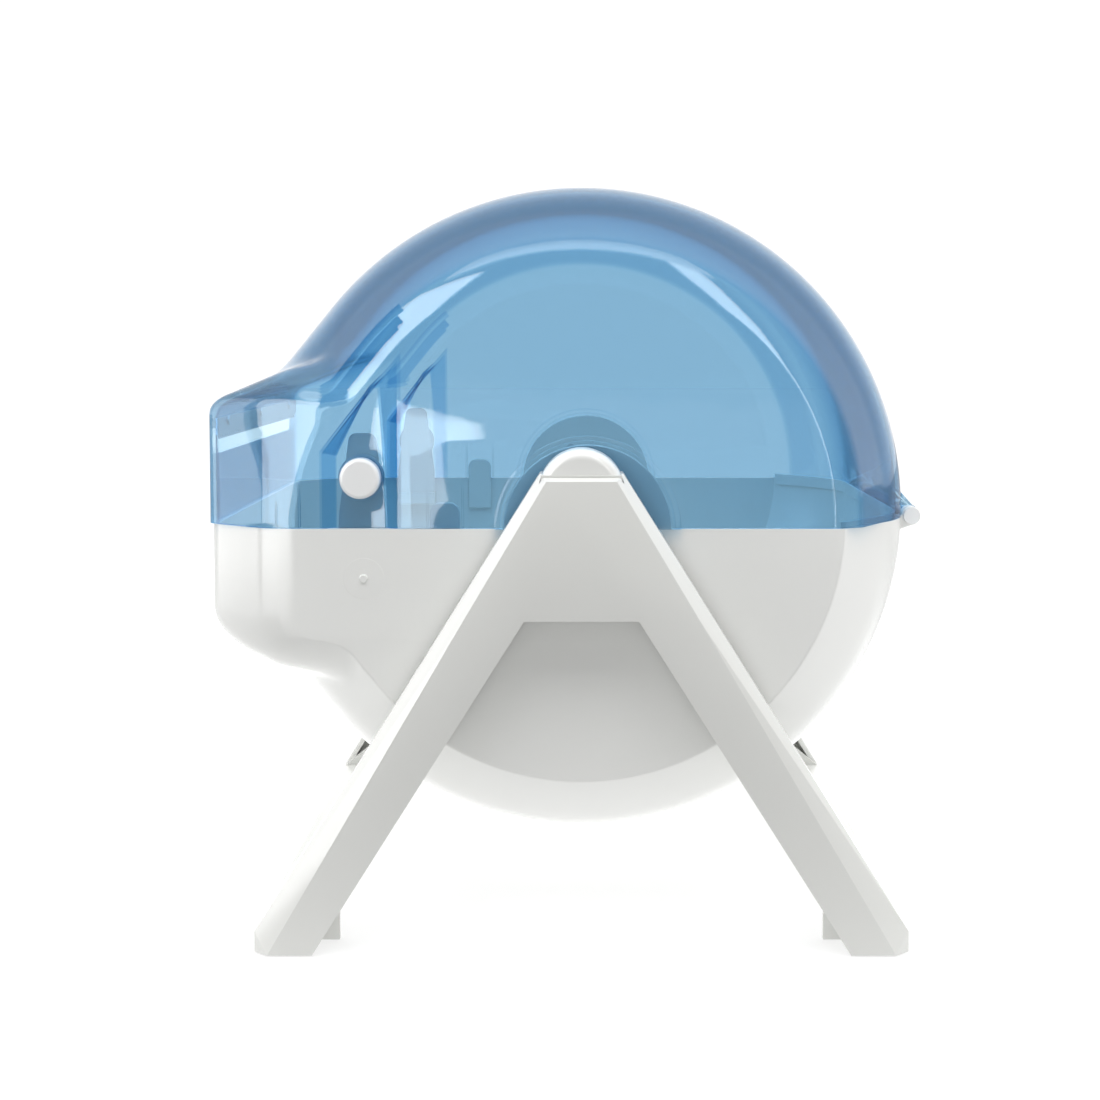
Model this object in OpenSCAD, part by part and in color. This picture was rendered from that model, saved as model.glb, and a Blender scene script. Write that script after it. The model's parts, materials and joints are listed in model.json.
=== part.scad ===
// Round cling film dispenser: a drum-shaped housing with a film nose, a hinged
// transparent cover, and two A-frames that hold it off the table.
// Millimetres. +Z up, the nose points to -X, the cover hinge is at +X.
// Origin: bottom centre of the whole object.

/* [Housing] */
// Largest radius of the drum
drum_r = 171; // [165:0.5:176]
// Height of the drum's centre above the table
drum_z = 210.5; // [209:0.5:214]
// Width of the housing between its flat sides
body_w = 290; // [280:1:310]
// Radius of the flat round side panel
panel_r = 131; // [126:0.5:134]
// Radius of the rounding between side band and rim
rim_round = 60; // [50:1:64]
// Slope of the band round the side panel, in degrees
band_angle = 41; // [38:1:44]
// Wall thickness of base and cover
wall = 2.6; // [2:0.1:3.2]
// Height of the joint between base and cover
part_z = 206.8; // [205:0.1:208]

/* [Nose] */
// Reach of the base's nose in front of the hub axis
nose_reach = 188.7; // [184:0.1:192]
// How far the cover's nose stands out past the base's
nose_lip = 1.8; // [0.5:0.1:3]
// Height of the nose's top at its front edge
nose_top_z = 270; // [266:0.5:274]
// Width that the nose's corners lose on each side
nose_corner = 24; // [18:1:28]

/* [Hinge] */
// Hinge pin axis behind the hub axis
hinge_x = 175.4; // [175:0.1:178]
// Radius of the hinge pin
pin_r = 3.4; // [3:0.1:3.6]
// Outer radius of the hinge knuckles
knuckle_r = 5.4; // [5:0.1:5.8]
// Length of the hinge pin without its heads
pin_len = 176; // [170:1:180]

/* [Stand] */
// Overall width across the two A-frames
stand_w = 343; // [340:1:350]
// Depth of one A-frame
leg_depth = 21.5; // [20:0.5:22]
// Height of the A-frame's flat top
apex_z = 236; // [234:0.5:238]
// Half width of the flat top
apex_half = 20.35; // [19.8:0.05:21]
// Half span over the feet
foot_half = 160.7; // [158:0.1:162]
// Height of the gap's top edge between the legs
gap_z = 165; // [160:1:168]
// Half width of the gap's top edge
gap_half = 27.85; // [26:0.05:30]
// Half distance between the feet's inner corners
foot_inner = 131.6; // [129:0.1:134]
// Plate thickness of the A-frames
leg_wall = 3; // [2.5:0.1:3.5]
// Height of the trunnion axis
hub_z = 227; // [225:0.5:228]
// Radius of the round trunnion
hub_r = 21; // [20:0.1:21.2]

/* [Buttons] */
// Release button's distance in front of the hub axis
button_x = 110; // [108:0.5:112]
// Release button's height
button_z = 232; // [230:0.5:234]
// Radius of the release button
button_r = 10.1; // [9:0.1:11]
// Travel of the release button
button_travel = 3.5; // [2.5:0.1:3.5]

/* [Hidden] */
$fn = 96;
eps = 0.01;
hw = body_w / 2;
cover_reach = nose_reach + nose_lip;
rear_reach = hinge_x + knuckle_r;
rivet_head = 0.6;
hub_x = (cover_reach + rivet_head - rear_reach) / 2; // centres the object on X = 0

// side profile of the drum: flat panel, straight band, rounding, rim
round_y = rim_round * sin(band_angle);
band_y = (drum_r - rim_round * (1 - cos(band_angle)) - panel_r) / tan(band_angle);
rim_y = hw - round_y - band_y;
round_steps = 10;

// side profile of the nose: stations of [distance from the flat side, loss of
// reach, loss of height], and of the drum's slope that runs down to it
nose_front_z = 264;
nose_inner = [-140, 290];
nose_stations = [[nose_corner, 0, 0], [10, 17, 14], [0, 35, 30]];
chin = [[-186.5, 157.5], [-178, 146.5], [-150, 131]];
chin_z = 166;
slope_angle = 51;
station_t = 0.5;
slope_run = 43;
slope_stations = [[rim_y, 0], [98, 4], [hw - band_y, 14.7], [hw, 40]];

// stand
frame_y = stand_w / 2;
frame_back = frame_y - leg_depth;
pad_h = 1.6;
pad_proud = 0.8;
bevel_y = 6;
bevel_top = 3.3;
bevel_foot = 7.2;
foot_knee = 10.7;
leg_slope = (foot_half - apex_half) / (apex_z - foot_knee);
seat_play = 0.05;
seat_ring = 3.2;
seat_rib = [12, 27];
boss_r = 4;
screw_r = 1.5;
screw_head_r = 3;
tie_w = 26;
tie_h = 9.2;
tie_wall = 2.4;
flange_t = 3;
tie_screws = [[-143, 15.5], [-128, 26]];
tie_screw_len = 13;
ear_screw_len = 7;
screw_play = 0.02;
screw_clear = 0.2;
head_h = 1.8;
head_slot = [3.6, 0.7];
flange = [[-120.9, 14.2], [-126, 14.2], [-114.5, 32.5], [-133, 32.5]];
pad_size = [21, 13];
pad_x = 147;
pad_y = frame_back + leg_depth / 2;

// trunnion
neck_r = 12;
neck_slot = 2;
hub_len = leg_depth - leg_wall - 1;
hub_edge = 5;
ear_r = 42;
ear_x = 3;
bulge_r = 46.5;
bulge_out = 4;
ear_screws = [-7, 7];

// base
lip_h = 3;
lip_t = 1.2;
lip_gap = 0.35;
lip_root = 4;
lip_start = -100;
parting_gap = 0.2;
tab_x = [-75.7, -60.7];
tab_h = 12.7;
tab_t = 2.4;
tab_root = 20;
tab_round = 5;
nub_pos = [-108.5, 182];
nub_r = 2.2;
nub_h = 1.2;

// hinge
hinge_z = part_z + 0.3;
pin_head_r = 4.3;
pin_head_t = 1.6;
pin_play = 0.05;
pin_end = pin_len / 2 + 0.2;
knuckle_gap = 0.5;
lug_r = 5;
lug_drop = 16;
base_lugs = [[-88, -81], [-58, -48], [48, 58], [81, 88]];
cover_knuckles = [[-80, -59], [-47, 47], [59, 80]];
gusset_t = 2;
gusset_y = [-79, -70, -61, -46, -30, -15, 0, 15, 30, 46, 61, 70, 79];

// latch
pocket_d = 3;
pocket = [[-122, part_z - 4], [-122, 243], [-107.5, 279], [-101.5, 279], [-99.5, 250],
    [-98, part_z - 4]];
button_head_t = button_travel + 1.5;
button_play = 0.3;
flange_r = 11.6;
button_flange_t = 1.5;
stem_r = 3;
stem_gap = 0.4;
arm_t = 2.4;
arm_gap = 1.85;
arm_foot_z = 198;
arm_top_z = 254;
arm_half = [12, 5];
arm_shelf = 8;
arm_shelf_gap = 0.2;
arm_face = hw - pocket_d - wall - 0.05 - button_flange_t - arm_gap;

// rollers
roller_r = 10;
axle_r = 4;
axle_play = 0.06;
roller_half = 97;
roller_ring = 151.5;
roller_angle = 17;
roller_pos = [roller_ring * sin(roller_angle), drum_z - roller_ring * cos(roller_angle)];
holder_t = 4;
holder_half = 9;
holder_h = 40;
holder_gap = 1;

// film outlet and tear strip
outlet_half = 112;
outlet_z = [242, 255];
strip_t = 1;
strip_h = 8.5;
strip_low = 3;
strip_z = outlet_z[1] + 3;
tooth_pitch = 5.6;
tooth_h = 2.6;
strip_rivets = [-90, 0, 90];

white = [0.93, 0.93, 0.92];
blue = [0.36, 0.62, 0.85, 0.55];
steel = [0.72, 0.73, 0.75];
rubber = [0.2, 0.2, 0.21];

// ---------- helpers ----------

// turns a shape whose axis is Z so that its axis is Y, and moves it to x, z
module along_y(x, z) {
    translate([x, 0, z]) rotate([90, 0, 0]) children();
}

// extrudes an outline drawn in X and Z from y0 to y1
module slab(y0, y1) {
    translate([0, y1, 0]) rotate([90, 0, 0]) linear_extrude(y1 - y0) children();
}

// a cylinder along Y between two places
module rod(x, z, r, y0, y1) {
    along_y(x, z) translate([0, 0, -y1]) cylinder(r = r, h = y1 - y0);
}

module from_hub() {
    translate([hub_x, 0, 0]) children();
}

// the mirror copy of a part of the near side
module far_side() {
    mirror([0, 1, 0]) children();
}

// ---------- housing shapes ----------

// section of the drum, t inside its outer surface
function drum_outline(t) = concat(
    [[0, t - hw], [panel_r - t * tan(45 - band_angle / 2), t - hw]],
    [for (i = [-round_steps:round_steps])
        let (a = band_angle * i / round_steps, s = sign(i) * rim_y)
        [drum_r - rim_round + (rim_round - t) * cos(a), s + (rim_round - t) * sin(a)]],
    [[panel_r - t * tan(45 - band_angle / 2), hw - t], [0, hw - t]]);

module drum(t) {
    along_y(0, drum_z) rotate_extrude($fn = 180) polygon(drum_outline(t));
}

// thin slabs of one outline at +y and -y
module pair(y) {
    slab(y - station_t, y) children();
    slab(-y, station_t - y) children();
}

// the cover's nose, t inside its outer surface
module upper_nose(t) {
    hull() for (s = nose_stations) pair(hw - max(s[0], t)) polygon([
        [t + s[1] - cover_reach, part_z - 5],
        [t + s[1] - cover_reach, nose_front_z - t - s[2]],
        [t + s[1] - cover_reach + 3, nose_top_z - t - s[2]],
        [nose_inner[0], nose_inner[1] - t - s[2]],
        [nose_inner[0] / 2, nose_inner[1] - t - s[2]],
        [nose_inner[0] / 2, part_z - 5]]);
    slope(t);
}

// the base's nose, t inside its outer surface
module lower_nose(t) {
    hull() for (s = nose_stations) pair(hw - max(s[0], t)) polygon(concat(
        [[t + s[1] - nose_reach, part_z + 5], [t + s[1] - nose_reach, chin_z + s[2]]],
        [for (p = chin) [p[0] + t + s[1] * (p[0] - chin[2][0]) / (chin[0][0] - chin[2][0]),
            p[1] + t + s[2]]],
        [[nose_inner[0] / 2, chin[2][1] + t + s[2]], [nose_inner[0] / 2, part_z + 5]]));
    translate([0, 0, 2 * drum_z]) mirror([0, 0, 1]) slope(t);
}

// the straight run of the drum's outline between its circle and the nose
module slope(t) {
    touch = (drum_r - 0.3) * [-sin(slope_angle), cos(slope_angle)] + [0, drum_z];
    low = touch - slope_run * [cos(slope_angle), sin(slope_angle)];
    inward = [sin(slope_angle), -cos(slope_angle)];
    hull() for (s = slope_stations) pair(min(s[0], hw - t)) translate((t + s[1]) * inward)
        polygon([touch, low, low + [40, -14], touch + [36, -30]]);
}

module above(z) {
    intersection() {
        children();
        translate([-300, -300, z]) cube(600);
    }
}

module below(z) {
    intersection() {
        children();
        translate([-300, -300, z - 600]) cube(600);
    }
}

// ---------- stand ----------

function leg_x(z) = apex_half + (apex_z - z) * leg_slope;

function frame_outline() = [
    [-apex_half, apex_z], [apex_half, apex_z], [foot_half, foot_knee],
    [foot_half, pad_proud], [foot_inner, pad_proud], [gap_half, gap_z],
    [-gap_half, gap_z], [-foot_inner, pad_proud], [-foot_half, pad_proud],
    [-foot_half, foot_knee]];

// solid A-frame with its bevelled outer edges
module frame_solid() {
    full = frame_outline();
    face_top = [apex_half - bevel_top, apex_z - bevel_top];
    face_gap = leg_x(gap_z) - bevel_foot;
    face_foot = foot_half - bevel_foot;
    slab(-frame_y + bevel_y, -frame_back) polygon(full);
    hull() {
        slab(-frame_y + bevel_y, -frame_y + bevel_y + eps)
            polygon([full[0], full[1], [leg_x(gap_z), gap_z], [-leg_x(gap_z), gap_z]]);
        slab(-frame_y, -frame_y + eps) polygon([[-face_top[0], face_top[1]], face_top,
            [face_gap, gap_z], [-face_gap, gap_z]]);
    }
    for (side = [0, 1]) mirror([side, 0, 0]) hull() {
        slab(-frame_y + bevel_y, -frame_y + bevel_y + eps)
            polygon([[leg_x(gap_z), gap_z], full[2], full[3], full[4], full[5]]);
        slab(-frame_y, -frame_y + eps)
            polygon([[face_gap, gap_z], [face_foot, pad_proud], full[4], full[5]]);
    }
}

module frame() {
    color(white) difference() {
        frame_solid();
        slab(bevel_y + leg_wall - frame_y, eps - frame_back) hollow_outline(leg_wall);
        slab(leg_wall - frame_y, eps - frame_back) hollow_outline(leg_wall + bevel_foot);
        rod(0, hub_z, hub_r + seat_play, leg_wall - frame_y, 1 - frame_back);
        for (side = [-1, 1], p = tie_screws)
            rod(side * p[0], p[1], screw_r, -frame_back - tie_screw_len + flange_t, 1 - frame_back);
        for (side = [-1, 1]) translate([side * pad_x, -pad_y, 0]) pad_shape(pad_h);
    }
}

// hollow in the frame's back, w inside its outline, with the seat and the screw bosses left
module hollow_outline(w) {
    difference() {
        offset(delta = -w) polygon(frame_outline());
        seat_web();
        for (side = [-1, 1], p = tie_screws) translate([-side * p[0], p[1]]) circle(boss_r);
    }
}

// ring and ribs that carry the trunnion inside the apex
module seat_web() {
    translate([0, hub_z]) circle(hub_r + seat_ring);
    translate([-leg_wall / 2, gap_z]) square([leg_wall, hub_z - gap_z]);
    for (side = [-1, 1]) polygon([[side * seat_rib[0], hub_z - hub_r], [side * seat_rib[1], gap_z],
        [side * (seat_rib[1] + leg_wall), gap_z], [side * (seat_rib[0] + leg_wall), hub_z - hub_r]]);
}

module pad_shape(h) {
    hull() for (x = [-1, 1], y = [-1, 1])
        translate([x * (pad_size[0] / 2 - 2), y * (pad_size[1] / 2 - 2), 0])
            cylinder(r = 2, h = h, $fn = 32);
}

module frame_near() from_hub() frame();
module frame_far() from_hub() far_side() frame();

module foot_pads() {
    color(rubber) from_hub() for (x = [-1, 1], y = [-1, 1])
        translate([x * pad_x, y * pad_y, 0]) pad_shape(pad_h);
}

// floor bar between the feet, with a screwed flange at each end
module tie_bar() {
    color(white) difference() {
        union() {
            translate([-foot_half, flange_t - frame_back, pad_proud])
                cube([tie_w, 2 * (frame_back - flange_t), tie_h]);
            for (side = [0, 1]) mirror([0, side, 0]) slab(-frame_back, flange_t - frame_back)
                polygon(concat([[-foot_half, pad_proud], [flange[0][0], pad_proud]], flange,
                    [[-foot_half, pad_proud + tie_h]]));
        }
        translate([-foot_half + tie_wall, 2 * flange_t - frame_back, pad_proud - 1])
            cube([tie_w - 2 * tie_wall, 2 * (frame_back - 2 * flange_t), tie_h + 1 - tie_wall]);
        for (side = [0, 1], p = tie_screws) mirror([0, side, 0])
            rod(p[0], p[1], screw_r + screw_clear, -frame_back - 1, 1 + flange_t - frame_back);
    }
}

module tie_bar_front() from_hub() tie_bar();
module tie_bar_rear() from_hub() mirror([1, 0, 0]) tie_bar();

// pan-head screw along Y: head on the +Y side of y
module screw(x, z, y, length) {
    rod(x, z, screw_r - screw_play, y - length, y);
    difference() {
        rod(x, z, screw_head_r, y, y + head_h);
        slab(y + head_h / 2, y + head_h + 1) translate([x, z])
            for (turn = [0, 90]) rotate(turn) square(head_slot, center = true);
    }
}

module tie_bar_screws() {
    color(steel) from_hub() for (sx = [0, 1], sy = [0, 1], p = tie_screws)
        mirror([sx, 0, 0]) mirror([0, sy, 0]) screw(p[0], p[1], flange_t - frame_back, tie_screw_len);
}

// round boss that rests in the A-frame's seat, with the neck that joins it to the ear
module trunnion() {
    back = frame_y - leg_wall - 0.5 - hub_len;
    color(white) difference() {
        union() {
            along_y(0, hub_z) translate([0, 0, back]) rotate_extrude() {
                square([hub_r - hub_edge, hub_len]);
                square([hub_r, hub_len - hub_edge]);
                translate([hub_r - hub_edge, hub_len - hub_edge]) circle(hub_edge, $fn = 48);
            }
            rod(0, hub_z, neck_r, -back - eps, -hw);
        }
        for (x = ear_screws) rod(x, hub_z, screw_r, -frame_back, 1 - hw);
    }
}

module trunnion_near() from_hub() trunnion();
module trunnion_far() from_hub() far_side() trunnion();

module trunnion_screws() {
    color(steel) from_hub() for (sy = [0, 1], x = ear_screws)
        mirror([0, sy, 0]) screw(x, hub_z, wall - hw, ear_screw_len);
}

// ---------- base ----------

// ears, side tabs and the lip that the cover closes over
module base_rim() {
    for (side = [0, 1]) mirror([0, side, 0]) {
        difference() {
            above(part_z - 2) rod(ear_x, part_z, ear_r, -hw, wall - hw);
            for (x = ear_screws) rod(x, hub_z, screw_r + screw_clear, -hw - 1, 1 + wall - hw);
        }
        slab(wall + lip_gap - hw, wall + lip_gap + tab_t - hw) {
            translate([tab_x[0], part_z - tab_root])
                square([tab_x[1] - tab_x[0], tab_h + tab_root - tab_round]);
            for (x = [tab_x[0] + tab_round, tab_x[1] - tab_round])
                translate([x, part_z + tab_h - tab_round]) circle(tab_round, $fn = 32);
            translate([tab_x[0] + tab_round, part_z])
                square([tab_x[1] - tab_x[0] - 2 * tab_round, tab_h]);
        }
        slab(wall - 1 - hw, wall + 1 - hw) translate([tab_x[0] + 1, part_z - tab_root + 1])
            square([tab_x[1] - tab_x[0] - 2, tab_root - 2]);
        translate([-button_x - arm_half[0], wall - 1 - hw, arm_foot_z - arm_shelf])
            cube([2 * arm_half[0], hw - wall + 1.5 + arm_t - arm_face, arm_shelf - arm_shelf_gap]);
    }
    intersection() {
        difference() {
            union() {
                drum(wall + lip_gap);
                below(part_z - 1) drum(wall - lip_gap);
            }
            drum(wall + lip_gap + lip_t);
        }
        translate([lip_start, wall + 2 - hw, part_z - lip_root])
            cube([2 * drum_r, 2 * (hw - wall - 2), lip_root + lip_h]);
    }
}

// ribs in the bottom of the base that hold the roller axles
module roller_holders() {
    intersection() {
        for (sx = [-1, 1], sy = [0, 1]) mirror([0, sy, 0])
            slab(-roller_half - holder_gap - holder_t, -roller_half - holder_gap)
                translate([sx * roller_pos[0], roller_pos[1]]) {
                    circle(holder_half);
                    translate([-holder_half, -holder_h]) square([2 * holder_half, holder_h]);
                }
        drum(wall / 2);
    }
}

module base_shell() {
    color(white) from_hub() difference() {
        union() {
            difference() {
                below(part_z) {
                    drum(0);
                    lower_nose(0);
                }
                drum(wall);
                lower_nose(wall);
            }
            base_rim();
            roller_holders();
            for (y = base_lugs) {
                rod(hinge_x, hinge_z, lug_r, y[0], y[1]);
                slab(y[0], y[1]) polygon([[drum_r - wall / 2, part_z - lug_drop],
                    [drum_r - wall / 2, part_z], [hinge_x, hinge_z + 2],
                    [hinge_x + 4, hinge_z - 2.5]]);
            }
            for (side = [0, 1]) mirror([0, side, 0])
                rod(nub_pos[0], nub_pos[1], nub_r, -hw - nub_h, 1 - hw);
        }
        for (y = cover_knuckles)
            rod(hinge_x, hinge_z, knuckle_r + knuckle_gap, y[0] - knuckle_gap, y[1] + knuckle_gap);
        rod(hinge_x, hinge_z, pin_r + pin_play, -hw, hw);
        for (sx = [-1, 1]) rod(sx * roller_pos[0], roller_pos[1], axle_r + screw_play,
            -roller_half - 2 * holder_gap - holder_t, roller_half + 2 * holder_gap + holder_t);
    }
}

module hinge_pin() {
    color(white) from_hub() {
        rod(hinge_x, hinge_z, pin_r, -pin_end, pin_end);
        rod(hinge_x, hinge_z, pin_head_r, -pin_end - pin_head_t, -pin_end);
    }
}

module hinge_pin_cap() {
    color(white) from_hub()
        rod(hinge_x, hinge_z, pin_head_r, pin_end, pin_end + pin_head_t);
}

module latch_arm() {
    color(white) slab(-arm_face, arm_t - arm_face) translate([-button_x, 0]) hull() {
        translate([-arm_half[0], arm_foot_z]) square([2 * arm_half[0], 14]);
        for (side = [-1, 1]) translate([side * (arm_half[1] - 2), arm_top_z - 4])
            circle(4, $fn = 32);
    }
}

module latch_arm_near() from_hub() latch_arm();
module latch_arm_far() from_hub() far_side() latch_arm();

module roller(side) {
    color(white) from_hub() difference() {
        rod(side * roller_pos[0], roller_pos[1], roller_r, -roller_half, roller_half);
        rod(side * roller_pos[0], roller_pos[1], axle_r + axle_play, -hw, hw);
    }
}

module roller_axle(side) {
    color(steel) from_hub() rod(side * roller_pos[0], roller_pos[1], axle_r,
        -roller_half - holder_gap - holder_t, roller_half + holder_gap + holder_t);
}

module roller_front() roller(-1);
module roller_rear() roller(1);
module roller_axle_front() roller_axle(-1);
module roller_axle_rear() roller_axle(1);

// ---------- cover ----------

module pocket_outline(grow) {
    offset(delta = grow) polygon(pocket);
}

module cover_outer() {
    above(part_z + parting_gap) {
        drum(0);
        upper_nose(0);
        for (side = [0, 1]) mirror([0, side, 0])
            rod(ear_x, part_z, bulge_r, -hw - bulge_out, wall - hw);
    }
}

module cover_inner() {
    difference() {
        union() {
            drum(wall);
            upper_nose(wall);
        }
        for (side = [0, 1]) mirror([0, side, 0])
            slab(-hw, pocket_d + wall - hw) pocket_outline(wall);
    }
    for (side = [0, 1]) mirror([0, side, 0])
        rod(ear_x, part_z, bulge_r - wall, -hw - bulge_out + wall, wall - hw + 1);
}

module cover_shell() {
    color(blue) from_hub() difference() {
        union() {
            difference() {
                cover_outer();
                cover_inner();
            }
            for (y = cover_knuckles) rod(hinge_x, hinge_z, knuckle_r, y[0], y[1]);
            for (y = gusset_y)
                slab(y - gusset_t / 2, y + gusset_t / 2)
                    polygon([[drum_r - 1.2, hinge_z + 2], [drum_r - 1.6, hinge_z + 14],
                        [hinge_x + 3, hinge_z + 4], [hinge_x, hinge_z + 2]]);
        }
        rod(hinge_x, hinge_z, pin_r + pin_play, -hw, hw);
        for (y = base_lugs)
            rod(hinge_x, hinge_z, knuckle_r + knuckle_gap, y[0] - knuckle_gap, y[1] + knuckle_gap);
        for (side = [0, 1]) mirror([0, side, 0]) {
            slab(-hw - 1, pocket_d - hw) pocket_outline(0);
            rod(-button_x, button_z, button_r + button_play, -hw, 10 - hw);
            rod(0, hub_z, neck_r + neck_slot, -hw - bulge_out - 1, wall - hw);
            slab(-hw - bulge_out - 1, wall - hw)
                translate([-neck_r - neck_slot, part_z - 1])
                    square([2 * (neck_r + neck_slot), hub_z - part_z + 1]);
        }
        translate([-cover_reach - 5, -outlet_half, outlet_z[0]])
            cube([20, 2 * outlet_half, outlet_z[1] - outlet_z[0]]);
        for (y = strip_rivets) outlet_hole(y);
    }
}

// rivet hole through the nose's front wall above the outlet
module outlet_hole(y) {
    translate([-cover_reach - 2, y, strip_z]) rotate([0, 90, 0])
        cylinder(r = screw_r, h = wall + 4, $fn = 24);
}

// serrated strip behind the outlet's upper edge
module tear_strip() {
    x = wall - cover_reach;
    teeth = floor(2 * outlet_half / tooth_pitch) - 1;
    color(steel) from_hub() difference() {
        translate([x, 0, 0]) rotate([90, 0, 90]) linear_extrude(strip_t) union() {
            translate([-outlet_half - 4, outlet_z[1] - strip_low])
                square([2 * outlet_half + 8, strip_h]);
            for (i = [0:teeth]) translate([(i - teeth / 2) * tooth_pitch, outlet_z[1] - strip_low])
                polygon([[-tooth_pitch / 2, 1], [-tooth_pitch / 2, 0], [0, -tooth_h],
                    [tooth_pitch / 2, 0], [tooth_pitch / 2, 1]]);
        }
        for (y = strip_rivets) outlet_hole(y);
    }
}

module tear_strip_rivets() {
    color(steel) from_hub() for (y = strip_rivets) translate([wall - cover_reach, y, strip_z])
        rotate([0, 90, 0]) {
            translate([0, 0, -wall - rivet_head]) cylinder(r = 2.2, h = rivet_head);
            translate([0, 0, -wall]) cylinder(r = screw_r - screw_play, h = wall + strip_t);
            translate([0, 0, strip_t]) cylinder(r = 2.4, h = 1);
        }
}

module release_button() {
    back = hw - pocket_d - wall;
    color([0.98, 0.98, 0.98]) {
        along_y(-button_x, button_z) rotate_extrude() {
            translate([0, back]) square([button_r, button_head_t + 2]);
            translate([0, back]) square([button_r - 2, button_head_t + 4]);
            translate([button_r - 2, back + button_head_t + 2]) circle(2, $fn = 32);
        }
        rod(-button_x, button_z, flange_r, -back + 0.05, -back + 0.05 + button_flange_t);
        rod(-button_x, button_z, 6, -back - 1, -back + 1);
        rod(-button_x, button_z, stem_r, -back, -stem_gap - arm_face);
    }
}

module release_button_near() from_hub() release_button();
module release_button_far() from_hub() far_side() release_button();

frame_near();
frame_far();
tie_bar_front();
tie_bar_rear();
tie_bar_screws();
foot_pads();
trunnion_near();
trunnion_far();
trunnion_screws();
base_shell();
hinge_pin();
hinge_pin_cap();
latch_arm_near();
latch_arm_far();
roller_front();
roller_rear();
roller_axle_front();
roller_axle_rear();
cover_shell();
tear_strip();
tear_strip_rivets();
release_button_near();
release_button_far();
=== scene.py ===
"""Cling film dispenser: smooth shells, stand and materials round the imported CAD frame."""

import json
import math

import bmesh
import bpy
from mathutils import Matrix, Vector
from mathutils.geometry import tessellate_polygon

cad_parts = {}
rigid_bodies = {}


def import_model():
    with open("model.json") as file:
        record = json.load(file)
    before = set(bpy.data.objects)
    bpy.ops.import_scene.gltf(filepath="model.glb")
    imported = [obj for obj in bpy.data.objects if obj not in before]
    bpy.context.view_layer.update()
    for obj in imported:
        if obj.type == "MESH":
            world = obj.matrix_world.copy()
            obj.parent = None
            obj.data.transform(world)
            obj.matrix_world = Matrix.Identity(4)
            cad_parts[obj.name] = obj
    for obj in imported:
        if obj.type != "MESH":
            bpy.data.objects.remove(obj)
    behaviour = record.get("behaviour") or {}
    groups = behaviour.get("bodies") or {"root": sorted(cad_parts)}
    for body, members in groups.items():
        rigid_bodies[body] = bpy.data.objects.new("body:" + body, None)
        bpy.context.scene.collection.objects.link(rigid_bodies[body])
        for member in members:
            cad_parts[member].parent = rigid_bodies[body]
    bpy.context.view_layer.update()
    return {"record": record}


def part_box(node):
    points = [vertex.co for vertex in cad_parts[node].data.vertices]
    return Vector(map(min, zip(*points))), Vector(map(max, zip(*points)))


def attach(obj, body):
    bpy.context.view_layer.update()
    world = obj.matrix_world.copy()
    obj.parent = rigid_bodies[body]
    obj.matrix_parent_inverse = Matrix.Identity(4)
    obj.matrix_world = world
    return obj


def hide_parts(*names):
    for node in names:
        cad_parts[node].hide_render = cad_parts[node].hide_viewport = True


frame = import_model()

# ---------- sizes, in millimetres; X is counted from the hub axis ----------

MM = 0.001


def box_mm(node):
    """A CAD node's lowest and highest corner in millimetres."""
    return [[c / MM for c in corner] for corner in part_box(node)]


hub_box = box_mm("trunnion_near")
cover_box = box_mm("cover_shell")
base_box = box_mm("base_shell")
stand_box = box_mm("frame_near")

HUB_X = (hub_box[0][0] + hub_box[1][0]) / 2
HUB_Z = (hub_box[0][2] + hub_box[1][2]) / 2
HUB_R = (hub_box[1][2] - hub_box[0][2]) / 2
HUB_EDGE = 5.0
STAND_HALF = -stand_box[0][1]
DRUM_R = (cover_box[1][2] - base_box[0][2]) / 2
DRUM_Z = (cover_box[1][2] + base_box[0][2]) / 2
BULGE_OUT = 4.0
HALF = cover_box[1][1] - BULGE_OUT
PANEL_R = 131.0
ROUND_R = 60.0
BAND_ANGLE = math.radians(41)
FILLET_TURN = math.pi / 2 - BAND_ANGLE
# arcs (radius, tilt reached) from the flat side to the slanted band: the cover has a wide shoulder
COVER_ARCS = [(8.0, math.radians(10)), (55.0, math.radians(22)), (8.0, FILLET_TURN)]
COVER_PANEL_R = 136.5
BASE_FILLET = 2.2
WALL = 2.6
PART_Z = 206.8
COVER_Z = PART_Z + 0.2
RIM_Y = HALF - ROUND_R * math.sin(BAND_ANGLE) - (
    DRUM_R - ROUND_R * (1 - math.cos(BAND_ANGLE)) - PANEL_R) / math.tan(BAND_ANGLE)

COVER_REACH = HUB_X - cover_box[0][0]
BASE_REACH = HUB_X - base_box[0][0]
SIDE_REACH = 143.0
# reach and depth of the nose's crease and of the end of its slanted corner
CREASE = (159.0, 2.0)
CORNER_END = (187.0, 21.0)
CORNER_CURVE = 0.19
FRONT_START = 27.0
# up to this height above the parting, the cover's flat side draws back and its crease deepens
RISE = 53.0
RISE_BACK = 16.0
RISE_DEEPER = 3.5
SLOPE_ANGLE = math.radians(51)
NOSE_TOP = (-187.5, 270.0)
NOSE_TOP_END = (-140.0, 290.0)
CHIN = (-178.0, 146.5)
CHIN_END = (-150.0, 131.0)
# greatest height of the nose above the drum's axis, and the cosine from which the drum is plain
NOSE_LEVEL = 79.5
NOSE_END = -0.7
# the nose's top drops by this much towards the flat side, from this depth outwards
CORNER_LOSS = 20.0
CORNER_DEPTH = 24.0

EAR_X = 3.0
EAR_R = 42.0
BULGE_R = 46.5
NECK_SLOT = 14.0
POCKET_D = 3.0
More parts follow.
